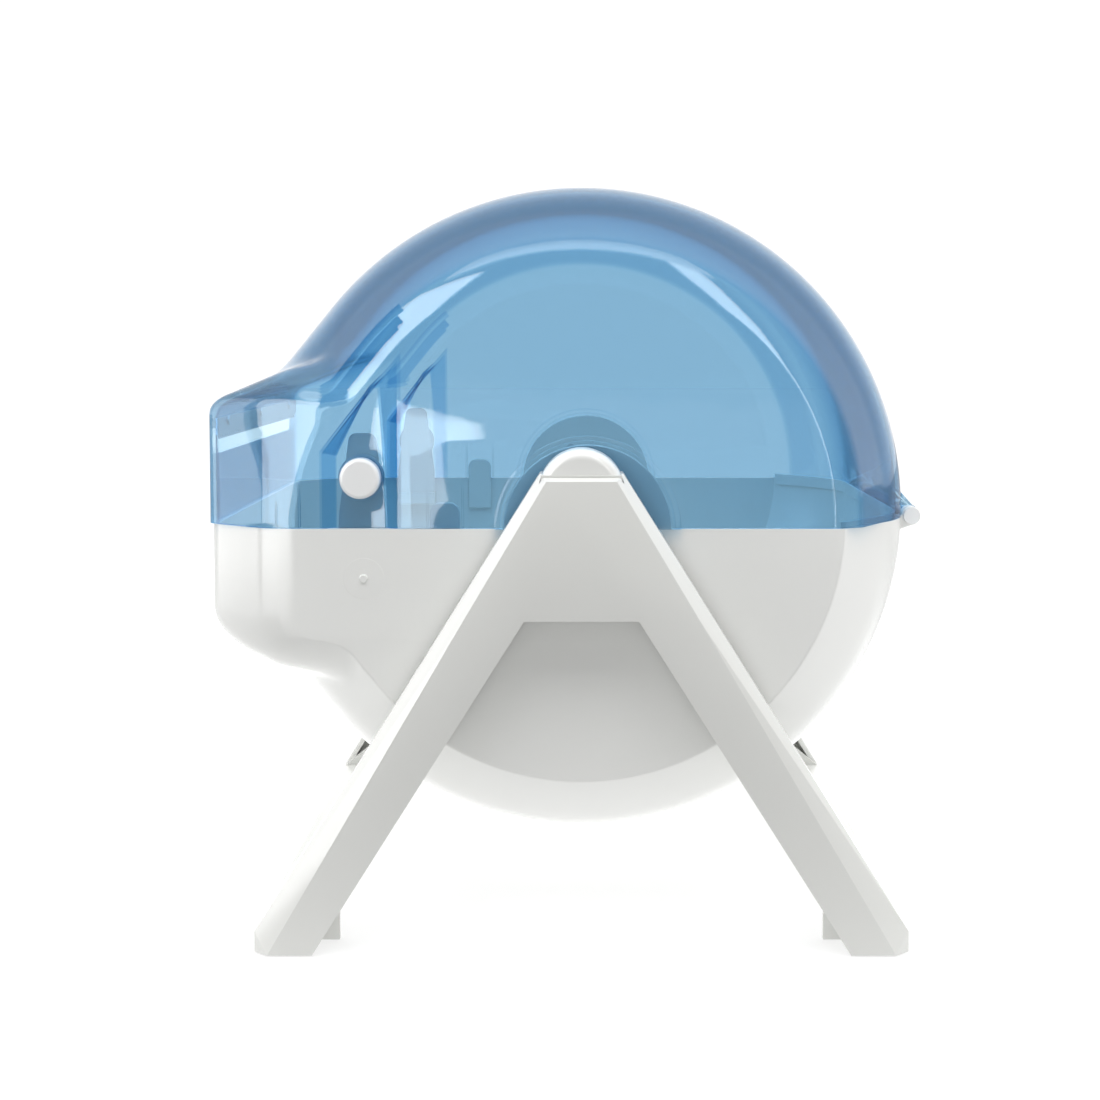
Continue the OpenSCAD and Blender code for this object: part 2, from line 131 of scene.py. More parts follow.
# how much the pocket's walls stand out from its rim on the inside
POCKET_GROW = 1.6
POCKET_RIM = [(-129, COVER_Z), (-129, 244.5), (-97.5, 283.2), (-91.5, 290), (-91.5, 250),
              (-91.5, COVER_Z)]
POCKET_FLOOR = [(-122, COVER_Z), (-122, 243), (-105.5, 276.5), (-101.5, 276.5), (-99.5, 250),
                (-98, COVER_Z)]
OUTLET = (-200, -180, 242, 255)
OUTLET_HALF = 112
BUTTON = (-110.0, 232.0)
BUTTON_HOLE = 10.4
HINGE = (175.4, PART_Z + 0.3)
PIN_BORE = 3.45
KNUCKLE_R = 5.4
LUG_R = 5.0
BASE_LUGS = [(-88, -81), (-58, -48), (48, 58), (81, 88)]
COVER_KNUCKLES = [(-80, -59), (-47, 47), (59, 80)]
GUSSET_Y = [-70, -30, -15, 0, 15, 30, 70]
# place and top of each blade inside the flat sides
RIBS = [(-76.9, 231.7), (-59.3, 231.7), (-141.0, 230), (-152.6, 226)]
MOULD_DOTS = [(-77.5, 293.0, 3.0), (72.5, 294.5, 2.5)]
TAB_X = (-75.7, -60.7)
TAB_H = 12.7
TAB_ROOT = 20.0
TAB_Y = (5.35 - HALF, 2.95 - HALF)
SHELF_Z = (190.0, 197.8)
SHELF_IN = 133.1
NUB = (-108.5, 182.0)
ROLLER = (44.29, 65.62)
HOLDER_Y = (98.0, 102.0)
HOLDER_BOTTOM = 164.9
STAND_EDGE = 1.5
CAP_HALF = 19.7
CAP_HEIGHT = 8.6


# ---------- mesh helpers ----------

SKIN_SHARP = 32
STAND_SHARP = 30


class Shell:
    """Points and faces in millimetres, where points that meet are shared."""

    def __init__(self):
        self.points, self.faces, self.index = [], [], {}

    def point(self, p):
        key = tuple(round(c, 3) for c in p)
        if key not in self.index:
            self.index[key] = len(self.points)
            self.points.append(p)
        return self.index[key]

    def face(self, corners):
        ids = [self.point(p) for p in corners]
        ids = [a for a, b in zip(ids, ids[1:] + ids[:1]) if a != b]
        if len(set(ids)) > 2 and len(set(ids)) == len(ids):
            self.faces.append(ids)

    def grid(self, rows, closed=False):
        for a, b in zip(rows, rows[1:]):
            for i in range(len(a) if closed else len(a) - 1):
                j = (i + 1) % len(a)
                self.face([a[i], a[j], b[j], b[i]])

    def fill(self, loops, y):
        """Fills an outline with holes, given as X and Z, in the plane at y."""
        flat = [Vector((x, z, 0)) for loop in loops for x, z in loop]
        for tri in tessellate_polygon([[Vector((x, z, 0)) for x, z in loop] for loop in loops]):
            self.face([(flat[i].x, y, flat[i].y) for i in tri])

    def prism(self, outline, y0, y1, bevel=0.4, place=lambda u, v, w: (u, w, v)):
        """A closed plate between two places along Y, or along place's axis, with softened edges."""
        low, high = min(y0, y1), max(y0, y1)
        small = inset(outline, bevel)
        rows = [(low, small), (low + bevel, outline), (high - bevel, outline), (high, small)]
        self.grid([[place(u, v, w) for u, v in loop] for w, loop in rows], closed=True)
        for w in (low, high):
            for tri in tessellate_polygon([[Vector((u, v, 0)) for u, v in small]]):
                self.face([place(*small[i], w) for i in tri])

    def mirrored(self):
        """Adds the mirror image across Y = 0."""
        for ids in list(self.faces):
            corners = [self.points[i] for i in ids]
            self.face([(x, -y, z) for x, y, z in reversed(corners)])


def area(outline):
    return sum(a[0] * b[1] - b[0] * a[1] for a, b in zip(outline, outline[1:] + outline[:1])) / 2


def inset(outline, width):
    """The outline moved inwards; width is one number or one per edge."""
    n = len(outline)
    widths = width if isinstance(width, (list, tuple)) else [width] * n
    turn = 1 if area(outline) > 0 else -1
    lines = []
    for i in range(n):
        (x0, z0), (x1, z1) = outline[i], outline[(i + 1) % n]
        length = math.hypot(x1 - x0, z1 - z0)
        nx, nz = -(z1 - z0) / length * turn, (x1 - x0) / length * turn
        lines.append((nx, nz, nx * x0 + nz * z0 + widths[i]))
    moved = []
    for i in range(n):
        a, b = lines[i - 1], lines[i]
        det = a[0] * b[1] - a[1] * b[0]
        if abs(det) < 1e-3:
            x, z = outline[i]
            moved.append((x + b[0] * widths[i], z + b[1] * widths[i]))
        else:
            moved.append(((a[2] * b[1] - a[1] * b[2]) / det, (a[0] * b[2] - a[2] * b[0]) / det))
    return moved


def rounded(outline, radii, steps=5):
    """The outline with an arc of steps segments at each corner."""
    made = []
    n = len(outline)
    for i, (x, z) in enumerate(outline):
        a = Vector(outline[i - 1]) - Vector((x, z))
        b = Vector(outline[(i + 1) % n]) - Vector((x, z))
        a.normalize()
        b.normalize()
        half = a.angle(b) / 2
        reach = radii[i] / math.tan(half)
        middle = Vector((x, z)) + (a + b).normalized() * radii[i] / math.sin(half)
        start, end = Vector((x, z)) + a * reach - middle, Vector((x, z)) + b * reach - middle
        sweep = start.angle_signed(end)
        for k in range(steps + 1):
            turn = -sweep * k / steps
            c, s = math.cos(turn), math.sin(turn)
            made.append((middle.x + start.x * c - start.y * s, middle.y + start.x * s + start.y * c))
    return made


def arc(x, z, r, start, end, steps):
    """Points on a circle, with the angles in degrees."""
    angles = [math.radians(start + (end - start) * k / steps) for k in range(steps + 1)]
    return [(x + r * math.cos(a), z + r * math.sin(a)) for a in angles]


def smooth_max(a, b, k):
    return max(a, b) + max(k - abs(a - b), 0) ** 2 / (4 * k)


def smooth_min(a, b, k):
    return -smooth_max(-a, -b, k)


def lerp(a, b, t):
    return tuple(p + (q - p) * t for p, q in zip(a, b))


def new_object(name, mesh):
    obj = bpy.data.objects.new(name, mesh)
    bpy.context.scene.collection.objects.link(obj)
    return obj


def solid_mesh(name, shell, close_z=None):
    """The shell as a closed mesh in metres; close_z closes its open rims in that plane."""
    mesh = bpy.data.meshes.new(name)
    at = [((x + HUB_X) * MM, y * MM, z * MM) for x, y, z in shell.points]
    mesh.from_pydata(at, [], shell.faces)
    bm = bmesh.new()
    bm.from_mesh(mesh)
    if close_z is not None:
        edges = [e for e in bm.edges if e.is_boundary and
                 all(abs(v.co.z - close_z * MM) < 1e-6 for v in e.verts)]
        bmesh.ops.triangle_fill(bm, edges=edges, use_beauty=True)
        bmesh.ops.holes_fill(bm, edges=[e for e in bm.edges if e.is_boundary], sides=4)
    bmesh.ops.recalc_face_normals(bm, faces=bm.faces)
    if bm.calc_volume(signed=True) < 0:
        bmesh.ops.reverse_faces(bm, faces=bm.faces)
    bm.to_mesh(mesh)
    bm.free()
    return mesh


def make_piece(name, mesh, body, material, replaced):
    """An object of this mesh that rides on a body and stands for one CAD node."""
    obj = new_object(name, mesh)
    mesh.materials.clear()
    mesh.materials.append(material)
    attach(obj, body)
    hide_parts(replaced)
    return obj


def shade(mesh, sharp=SKIN_SHARP):
    """Smooth shading with creases where faces meet at more than sharp degrees."""
    bm = bmesh.new()
    bm.from_mesh(mesh)
    for f in bm.faces:
        f.smooth = True
    for e in bm.edges:
        e.smooth = len(e.link_faces) == 2 and e.calc_face_angle() < math.radians(sharp)
    bm.to_mesh(mesh)
    bm.free()


def combine(obj, other, operation="DIFFERENCE"):
    """Takes a closed shell away from a piece, or adds it with operation UNION."""
    cutter = new_object("cutter", solid_mesh("cutter", other))
    mod = obj.modifiers.new("cut", "BOOLEAN")
    mod.object = cutter
    mod.solver = "MANIFOLD"
    mod.operation = operation
    bpy.context.view_layer.update()
    seen = obj.evaluated_get(bpy.context.evaluated_depsgraph_get())
    done = bpy.data.meshes.new_from_object(seen)
    obj.modifiers.clear()
    obj.data = done
    shade(done)
    bpy.data.objects.remove(cutter)


def paint(obj, *materials):
    """Gives a piece these materials only, with the first one on every face."""
    obj.data.materials.clear()
    for material in materials:
        obj.data.materials.append(material)
    for polygon in obj.data.polygons:
        polygon.material_index = 0


def disc(x, z, r, steps=48):
    return arc(x, z, r, 0, 360, steps)[:-1]


def box_outline(x0, x1, z0, z1):
    return [(x0, z0), (x1, z0), (x1, z1), (x0, z1)]


def add_plates(obj, plates, operation="UNION"):
    """Adds or takes away plates; each is an outline, two places, a bevel and, if need be, an axis."""
    for plate in plates:
        shell = Shell()
        shell.prism(*plate)
        combine(obj, shell, operation)


def both_sides(plates):
    """Plates along Y and their mirror images."""
    return plates + [(outline, -y0, -y1, bevel) for outline, y0, y1, bevel in plates]


def along_x(u, v, w):
    return (w, u, v)


def along_z(u, v, w):
    return (u, v, w)


# ---------- materials ----------


class Nodes:
    """Short names for making the nodes of one material or world."""

    def __init__(self, name, world=False):
        kind = bpy.data.worlds if world else bpy.data.materials
        self.material = kind.new(name)
        self.material.use_nodes = True
        self.tree = self.material.node_tree
        self.tree.nodes.clear()
        self.out = self.add("OutputWorld" if world else "OutputMaterial")

    def add(self, kind, **values):
        node = self.tree.nodes.new("ShaderNode" + kind)
        for key, value in values.items():
            if key in node.inputs:
                node.inputs[key].default_value = value
            else:
                setattr(node, key, value)
        return node

    def link(self, source, target):
        self.tree.links.new(source, target)

    def math(self, operation, *values):
        node = self.add("Math", operation=operation)
        for socket, value in zip(node.inputs, values):
            if isinstance(value, (int, float)):
                socket.default_value = value
            else:
                self.link(value, socket)
        return node.outputs[0]

    def ramp(self, value, steps):
        """A colour that follows a value through steps of (place, colour)."""
        node = self.add("ValToRGB")
        elements = node.color_ramp.elements
        while len(elements) < len(steps):
            elements.new(0.5)
        for element, (position, colour) in zip(elements, steps):
            element.position = position
            element.color = (*colour, 1)
        self.link(value, node.inputs[0])
        return node.outputs[0]

    def grey_ramp(self, value, steps):
        return self.ramp(value, [(position, (grey, grey, grey)) for position, grey in steps])

    def mixed(self, share, first, second):
        node = self.add("MixShader")
        for socket, value in zip(node.inputs, (share, first, second)):
            self.link(value, socket)
        return node.outputs[0]

    def noise(self, scale, detail=2.0, stretch=(1, 1, 1)):
        place = self.add("TexCoord")
        mapping = self.add("Mapping", Scale=stretch)
        texture = self.add("TexNoise", Scale=scale, Detail=detail)
        self.link(place.outputs["Object"], mapping.inputs["Vector"])
        self.link(mapping.outputs["Vector"], texture.inputs["Vector"])
        return texture.outputs[0]

    def bump(self, height, strength, distance):
        node = self.add("Bump", Strength=strength, Distance=distance)
        self.link(height, node.inputs["Height"])
        return node.outputs["Normal"]


def darker(colour, share):
    return tuple(c * share for c in colour)


def moulded_plastic(name, colour, roughness):
    """White moulded plastic: faint flow waves, fine grain and a slightly uneven gloss."""
    n = Nodes(name)
    body = n.add("BsdfPrincipled")
    tone = n.ramp(n.noise(9, 3), [(0.3, darker(colour, 0.975)), (0.7, colour)])
    n.link(tone, body.inputs["Base Color"])
    rough = n.math("MULTIPLY_ADD", n.noise(160, 3), 0.10, roughness - 0.05)
    n.link(rough, body.inputs["Roughness"])
    waves = n.add("Bump", Strength=0.6, Distance=0.00012)
    n.link(n.noise(14, 1), waves.inputs["Height"])
    fine = n.add("Bump", Strength=0.5, Distance=0.00002)
    n.link(n.noise(2600, 2), fine.inputs["Height"])
    n.link(waves.outputs[0], fine.inputs["Normal"])
    n.link(fine.outputs[0], body.inputs["Normal"])
    n.link(body.outputs[0], n.out.inputs["Surface"])
    return n.material


def blue_plastic(name, tint, edge_gain, base):
    """Thin transparent plastic: tinted more at a slant, glossy by Fresnel, slightly wavy."""
    n = Nodes(name)
    waves = n.bump(n.noise(16, 2), 0.8, 0.0005)
    facing = n.add("LayerWeight", Blend=0.5)
    n.link(waves, facing.inputs["Normal"])
    slant = n.math("POWER", facing.outputs["Facing"], 1.6)
    colour = n.add("Gamma", Color=(*tint, 1))
    n.link(n.math("MULTIPLY_ADD", slant, edge_gain, 1.0), colour.inputs["Gamma"])
    see = n.add("BsdfTransparent")
    n.link(colour.outputs[0], see.inputs["Color"])
    gloss = n.add("BsdfGlossy", Roughness=0.05)
    n.link(waves, gloss.inputs["Normal"])
    rise = n.math("POWER", facing.outputs["Facing"], 5.0)
    reflect = n.math("MULTIPLY_ADD", rise, 1 - base, base)
    shown = n.mixed(reflect, see.outputs[0], gloss.outputs[0])
    n.link(shown, n.out.inputs["Surface"])
    return n.material


def brushed_metal(name, colour, roughness):
    """Plated steel with fine drawn lines."""
    n = Nodes(name)
    body = n.add("BsdfPrincipled", Metallic=1.0)
    lines = n.noise(700, 3, stretch=(1, 30, 1))
    n.link(n.ramp(lines, [(0, darker(colour, 0.8)), (1, colour)]), body.inputs["Base Color"])
    rough = n.math("MULTIPLY_ADD", lines, 0.2, roughness - 0.1)
    n.link(rough, body.inputs["Roughness"])
    n.link(n.bump(lines, 0.3, 0.00003), body.inputs["Normal"])
    n.link(body.outputs[0], n.out.inputs["Surface"])
    return n.material


def soft_rubber(name, colour):
    """Matt pad rubber with a fine speckle."""
    n = Nodes(name)
    body = n.add("BsdfPrincipled", Roughness=0.8)
    speck = n.noise(900, 4)
    n.link(n.ramp(speck, [(0, darker(colour, 0.85)), (1, colour)]), body.inputs["Base Color"])
    n.link(n.bump(speck, 0.5, 0.0001), body.inputs["Normal"])
    n.link(body.outputs[0], n.out.inputs["Surface"])
    return n.material


shell_white = moulded_plastic("shell_white", (0.83, 0.835, 0.815), 0.16)
stand_white = moulded_plastic("stand_white", (0.75, 0.755, 0.73), 0.16)
button_white = moulded_plastic("button_white", (0.86, 0.87, 0.87), 0.22)
inner_white = moulded_plastic("inner_white", (0.78, 0.78, 0.77), 0.4)
clear_blue = blue_plastic("clear_blue", (0.70, 0.828, 0.905), 2.7, 0.04)
# painted shade: a darker copy of the blue plastic, for the darkening that refraction gives at the button
# pocket's sloped walls
pocket_shade_blue = blue_plastic("pocket_shade_blue", (0.50, 0.70, 0.84), 2.6, 0.0)
steel = brushed_metal("steel", (0.62, 0.63, 0.65), 0.3)
pad_rubber = soft_rubber("pad_rubber", (0.5, 0.5, 0.49))


# ---------- housing surface ----------


def drum_profile(t, arcs):
    """Rows of (Y, radius) from the flat panel's edge to the middle of the rim, t inside the skin."""
    corner = (COVER_PANEL_R if arcs == COVER_ARCS else PANEL_R) - t * math.tan(FILLET_TURN / 2)
    rows = [(0.0, 0.0)]
    before = 0.0
    for radius, until in arcs:
        half_step = (until - before) / 16
        step = 2 * math.sin(half_step) * max(radius - t, 0.5)
        for k in range(8):
            lean = before + (2 * k + 1) * half_step
            rows.append((rows[-1][0] - step * math.sin(lean), rows[-1][1] + step * math.cos(lean)))
        before = until
    start = corner - rows[-1][0] / math.tan(FILLET_TURN) - rows[-1][1]
    rows = [(HALF - t + y, start + r) for y, r in rows]
    round_r = ROUND_R - t
    top = (RIM_Y + round_r * math.sin(BAND_ANGLE), DRUM_R - ROUND_R + round_r * math.cos(BAND_ANGLE))
    last = rows[-1]
    for k in range(1, 13):
        rows.append(lerp(last, top, k / 12))
    for k in range(1, 15):
        a = BAND_ANGLE * (1 - k / 14)
        rows.append((RIM_Y + round_r * math.sin(a), DRUM_R - ROUND_R + round_r * math.cos(a)))
    for k in range(1, 6):
        rows.append((RIM_Y * (1 - k / 5), DRUM_R - t))
    return rows


def nose_plan(depth, height=0.0):
    """How far the nose reaches forward at a depth behind the flat side, and above the parting."""
    high = min(max(height / RISE, 0), 1)
    side = SIDE_REACH - RISE_BACK * high ** 2
    crease = CREASE[1] + RISE_DEEPER * high
    if depth <= crease:
        dx, dy = CREASE[0] - side, crease
        r = (dx * dx + dy * dy) / (2 * dy)
        return side + math.sqrt(max(r * r - (r - depth) ** 2, 0))
    if depth <= CORNER_END[1]:
        s = (depth - crease) / (CORNER_END[1] - crease)
        return CREASE[0] + (CORNER_END[0] - CREASE[0]) * (s + CORNER_CURVE * (s - s * s))
    if depth <= FRONT_START:
        s = (FRONT_START - depth) / (FRONT_START - CORNER_END[1])
        return COVER_REACH - (COVER_REACH - CORNER_END[0]) * s * s
    return COVER_REACH


def line_through(a, b):
    """Outward unit normal and distance from the drum's centre of a line from a to b."""
    dx, dz = b[0] - a[0], b[1] - a[1]
    length = math.hypot(dx, dz)
    nx, nz = -dz / length, dx / length
    c = nx * a[0] + nz * (a[1] - DRUM_Z)
    return (nx, nz, c) if c > 0 else (-nx, -nz, -c)


TOP_LINE = line_through(NOSE_TOP, NOSE_TOP_END)
CHIN_LINE = line_through(CHIN, CHIN_END)


def skin_radius(angle, depth, radius, t, upper):
    """Distance from the drum's axis to the skin in one direction at one depth."""
    ux, uz = math.cos(angle), abs(math.sin(angle))
    if ux > NOSE_END:
        return radius
    lip = 0 if upper else COVER_REACH - BASE_REACH
    steep = -math.sin(SLOPE_ANGLE)
    slope = radius / (steep * ux + math.cos(SLOPE_ANGLE) * uz) if ux < steep else radius
    nx, nz, c = TOP_LINE if upper else (CHIN_LINE[0], -CHIN_LINE[1], CHIN_LINE[2])
    loss = CORNER_LOSS * max(1 - depth / CORNER_DEPTH, 0) ** 2
    facing = nx * ux + nz * uz
    line = (c - loss * nz - t) / facing if facing > 0.05 else 1e3
    level = (NOSE_LEVEL - loss - t) / uz if uz > 0.05 else 1e3
    nose = smooth_min(line, level, 12)
    blend = 9 if upper else 16
    roof = smooth_max(nose, slope, blend)
    reach = roof
    for _ in range(6):
        height = reach * uz - (COVER_Z - DRUM_Z) if upper else 0.0
        front = (nose_plan(depth, height) - lip - t) / -ux
        reach = max(smooth_min(front, roof, blend), radius * 0.98)
    return reach


def skin_rows(t, arcs, upper, cut_z):
    """The skin as rows of points across the whole width, each row from parting to parting."""
    half = [(y, r, HALF - t - y) for y, r in drum_profile(t, arcs)]
    both = [(-y, r, d) for y, r, d in half] + [(y, r, d) for y, r, d in reversed(half[:-1])]
    level = cut_z - DRUM_Z
    rows = []
    for y, r, depth in both:
        if upper:
            first = math.asin(level / r)
            last = math.pi
            for _ in range(8):
                last = math.pi - math.asin(level / skin_radius(last, depth, r, t, True))
        else:
            last = 2 * math.pi + math.asin(level / r)
            first = math.pi
            for _ in range(8):
                first = math.pi - math.asin(level / skin_radius(first, depth, r, t, False))
        row = []
        for u in columns(upper):
            a = first + (last - first) * u
            q = skin_radius(a, depth, r, t, upper)
            row.append((q * math.cos(a), y, DRUM_Z + q * math.sin(a)))
        for end in (0, -1):
            row[end] = (row[end][0], row[end][1], cut_z)
        rows.append(row)
    return rows


def columns(upper):
    """Places along a row, from 0 to 1, closer together over the nose."""
    drum, nose = 84, 78
    share = 0.215 if not upper else 0.225
    near = [(1 - share) * k / drum for k in range(drum)]
    far = [1 - share + share * k / nose for k in range(nose + 1)]
    u = near + far
    return u if upper else [1 - v for v in reversed(u)]


def xz(points):
    return [(p[0], p[2]) for p in points]


def at_y(outline, y):
    return [(x, y, z) for x, z in outline]


# ---------- cover ----------


def slot_path():
    """The neck's slot, from its right foot over the round top to its left foot."""
    return [(NECK_SLOT, COVER_Z)] + arc(0, HUB_Z, NECK_SLOT, 0, 180, 20) + [(-NECK_SLOT, COVER_Z)]


def button_hole():
    return disc(*BUTTON, BUTTON_HOLE)


def cover_side(shell, panel, y_panel, y_floor, y_bulge, pocket_grow, bulge_r):
    """One flat side of the cover: panel, button pocket, hub bulge."""
    rim = grown(POCKET_RIM, pocket_grow)
    floor = grown(POCKET_FLOOR, pocket_grow * 0.6)
    middle = [lerp(a, b, 0.8) for a, b in zip(rim, floor)]
    start = math.degrees(math.asin((COVER_Z - PART_Z) / bulge_r))
    ring, small = (arc(EAR_X, PART_Z, r, 180 - start, start, 40) for r in (bulge_r, bulge_r - 1.2))
    for path in (ring, small):
        path[0], path[-1] = (path[0][0], COVER_Z), (path[-1][0], COVER_Z)
    shell.fill([panel + rim + ring], y_panel)
    y_mid = y_panel + (y_floor - y_panel) * 0.8
    shell.grid([at_y(rim, y_panel), at_y(middle, y_mid), at_y(floor, y_floor)])
    shell.fill([floor, button_hole()], y_floor)
    y_edge = y_bulge - math.copysign(1.0, y_bulge)
    shell.grid([at_y(ring, y_panel), at_y(ring, y_edge), at_y(small, y_bulge)])
    shell.fill([small + slot_path()], y_bulge)


def grown(path, width):
    """An open path that starts and ends on the parting plane, moved outwards."""
    closed = inset(path, [-width] * (len(path) - 1) + [0])
    return [(x, COVER_Z) if i in (0, len(path) - 1) else (x, z) for i, (x, z) in enumerate(closed)]


def build_cover():
    shell = Shell()
    outer = skin_rows(0, COVER_ARCS, True, COVER_Z)
    inner = skin_rows(WALL, COVER_ARCS, True, COVER_Z)
    shell.grid(outer)
    shell.grid(inner)
    for side in (-1, 1):
        row = 0 if side < 0 else -1
        panel, floor, bulge = HALF, HALF - POCKET_D, HALF + BULGE_OUT
        cover_side(shell, xz(outer[row]), side * panel, side * floor, side * bulge, 0, BULGE_R)
        cover_side(shell, xz(inner[row]), side * (panel - WALL), side * (floor - WALL),
                   side * (bulge - WALL), POCKET_GROW, BULGE_R - WALL)
        hole = button_hole()
        shell.grid([at_y(hole + hole[:1], side * y) for y in (floor, floor - WALL)])
        shell.grid([at_y(slot_path(), side * y) for y in (bulge, bulge - WALL)])
    mesh = solid_mesh("cover_skin", shell, close_z=COVER_Z)
    shade(mesh)
    skin = make_piece("cover_skin", mesh, "cover", clear_blue, "cover_shell")
    add_plates(skin, [(box_outline(*OUTLET), -OUTLET_HALF, OUTLET_HALF, 3)], "DIFFERENCE")
    add_plates(skin, ribs())
    add_plates(skin, both_sides([(disc(x, z, r, 24), WALL + 0.5 - HALF, WALL - 0.5 - HALF, 0.15)
                                 for x, z, r in MOULD_DOTS]))
    add_plates(skin, hinge_parts(COVER_KNUCKLES, KNUCKLE_R, gusset()))
    add_plates(skin, [(gusset(), y - 1, y + 1, 0.2) for y in GUSSET_Y])
    add_plates(skin, hinge_gaps(BASE_LUGS), "DIFFERENCE")
    # the pocket's sloped walls get the darker copy of the blue as painted shade; every other face gets
    # the plain blue
    paint(skin, clear_blue, pocket_shade_blue)
    for polygon in skin.data.polygons:
        x, y = polygon.center.x / MM - HUB_X, abs(polygon.center.y / MM)
        steep = abs(polygon.normal.y) < 0.97 and HALF - POCKET_D - WALL + 0.1 < y < HALF - 0.1
        if steep and POCKET_RIM[0][0] - 1 < x < POCKET_RIM[-1][0] + 2:
            polygon.material_index = 1


def ribs():
    """Thin upright blades inside the flat sides, by the side tab and in the nose."""
    plates = []
    for side in (-1, 1):
        wall = HALF - WALL + 0.5
        for x, top in RIBS:
            blade = [(side * wall, COVER_Z), (side * (wall - 4), COVER_Z), (side * (wall - 3), top - 8),
                     (side * wall, top)]
            plates.append((blade, x - 0.5, x + 0.5, 0.1, along_x))
    return plates


def gusset():
    x, z = HINGE
    return [(DRUM_R - 1.2, z + 2), (x, z + 2), (x + 3, z + 4), (DRUM_R - 1.6, z + 14)]


# ---------- base ----------


def build_base():
    shell = Shell()
    outer = skin_rows(0, [(BASE_FILLET, FILLET_TURN)], False, PART_Z)
    inner = skin_rows(WALL, [(BASE_FILLET + WALL, FILLET_TURN)], False, PART_Z)
    shell.grid(outer)
    shell.grid(inner)
    for side in (-1, 1):
        row = 0 if side < 0 else -1
        shell.fill([xz(outer[row])], side * HALF)
        shell.fill([xz(inner[row])], side * (HALF - WALL))
    mesh = solid_mesh("base_skin", shell, close_z=PART_Z)
    shade(mesh)
    skin = make_piece("base_skin", mesh, "housing", shell_white, "base_shell")
    add_plates(skin, both_sides(side_details()) + lip() + roller_holders())
    add_plates(skin, hinge_parts(BASE_LUGS, LUG_R, lug_web()))
    add_plates(skin, hinge_gaps(COVER_KNUCKLES), "DIFFERENCE")


def side_details():
    """What stands on one flat side: ear, tab with its root, latch shelf, nub with its ring."""
    low = PART_Z - 1.5
    start = math.degrees(math.asin((PART_Z - low) / EAR_R))
    ear = arc(EAR_X, PART_Z, EAR_R, -start, 180 + start, 60)
    foot = PART_Z - TAB_ROOT
    tab = rounded(box_outline(*TAB_X, foot, PART_Z + TAB_H), [0.5, 0.5, 5, 5])
    root = box_outline(TAB_X[0] + 1, TAB_X[1] - 1, foot + 1, PART_Z - 1)
    shelf = box_outline(BUTTON[0] - 12, BUTTON[0] + 12, *SHELF_Z)
    return [(ear, WALL - HALF, -HALF, 0.5),
            (tab, TAB_Y[0], TAB_Y[1], 0.4),
            (root, TAB_Y[1] - 0.5, 1.0 - HALF, 0.1),
            (shelf, 1.6 - HALF, -SHELF_IN, 0.5),
            (disc(*NUB, 2.2, 32), 1 - HALF, -HALF - 1.2, 0.5),
            (disc(*NUB, 10.2, 64), 1 - HALF, -HALF - 0.12, 0.06)]


def lip():
    """Thin lip inside the rear edge that the cover closes over."""
    plates = []
    for t, z0, z1 in ((WALL - 0.35, PART_Z - 4, PART_Z - 1), (WALL + 0.35, PART_Z - 4, PART_Z + 3)):
        outer = [(r, y) for y, r in lip_rows(t)]
        inner = [(r, y) for y, r in lip_rows(WALL + 0.35 + 1.2)]
        plates.append((outer + inner[::-1], z0, z1, 0.2, along_z))
    return plates


def lip_rows(t):
    """The inside of the rim at depth t, from side to side, short of the flat sides."""
    profile = drum_profile(t, [(BASE_FILLET + t, FILLET_TURN)])
    half = [(y, r) for y, r in profile if 0.1 < y < HALF - WALL - 2]
    return [(-y, r) for y, r in half] + [(y, r) for y, r in reversed(half)]


def roller_holders():
    """Upright plates that carry the rollers' axles, down to the curved bottom."""
    plates = []
    for side in (-1, 1):
        x = side * ROLLER[0]
        bottom = [(q, DRUM_Z - math.sqrt(HOLDER_BOTTOM ** 2 - q * q))
                  for q in (x - 9, x - 4.5, x, x + 4.5, x + 9)]
        outline = bottom + arc(x, ROLLER[1], 9, 0, 180, 24)
        plates.append((outline, -HOLDER_Y[1], -HOLDER_Y[0], 0.5))
    return both_sides(plates)


def hinge_parts(spans, radius, web):
    """Rings round the hinge pin and the webs that join them to the shell."""
    plates = []
    for y0, y1 in spans:
        plates += [(disc(*HINGE, radius), y0, y1, 0.5), (web, y0, y1, 0.3)]
    return plates


def hinge_gaps(spans):
    """Room round the other shell's rings, and the bore for the pin."""
    gaps = [(disc(*HINGE, KNUCKLE_R + 0.5), y0 - 0.5, y1 + 0.5, 0.05) for y0, y1 in spans]
    return gaps + [(disc(*HINGE, PIN_BORE), -100, 100, 0.05)]


def lug_web():
    x, z = HINGE
    return [(DRUM_R - 3, PART_Z - 7.5), (x + 2, z - 4.3), (x, z + 2), (DRUM_R - 3, PART_Z)]


# ---------- stand and small parts ----------


def softened(node, width, angle=12):
    """A copy of a CAD node's mesh with its flat faces merged and its edges rounded."""
    mesh = bpy.data.objects[node].data.copy()
    bm = bmesh.new()
    bm.from_mesh(mesh)
    bmesh.ops.remove_doubles(bm, verts=bm.verts, dist=0.01 * MM)
    bmesh.ops.dissolve_limit(bm, angle_limit=math.radians(1), verts=bm.verts, edges=bm.edges)
    edges = [e for e in bm.edges if len(e.link_faces) == 2 and
             math.radians(angle) < e.calc_face_angle()]
    bmesh.ops.bevel(bm, geom=edges, offset=width * MM, offset_type="OFFSET", segments=3, profile=0.5,
                    affect="EDGES", clamp_overlap=True)
    bm.to_mesh(mesh)
    bm.free()
    shade(mesh, STAND_SHARP)
    return mesh


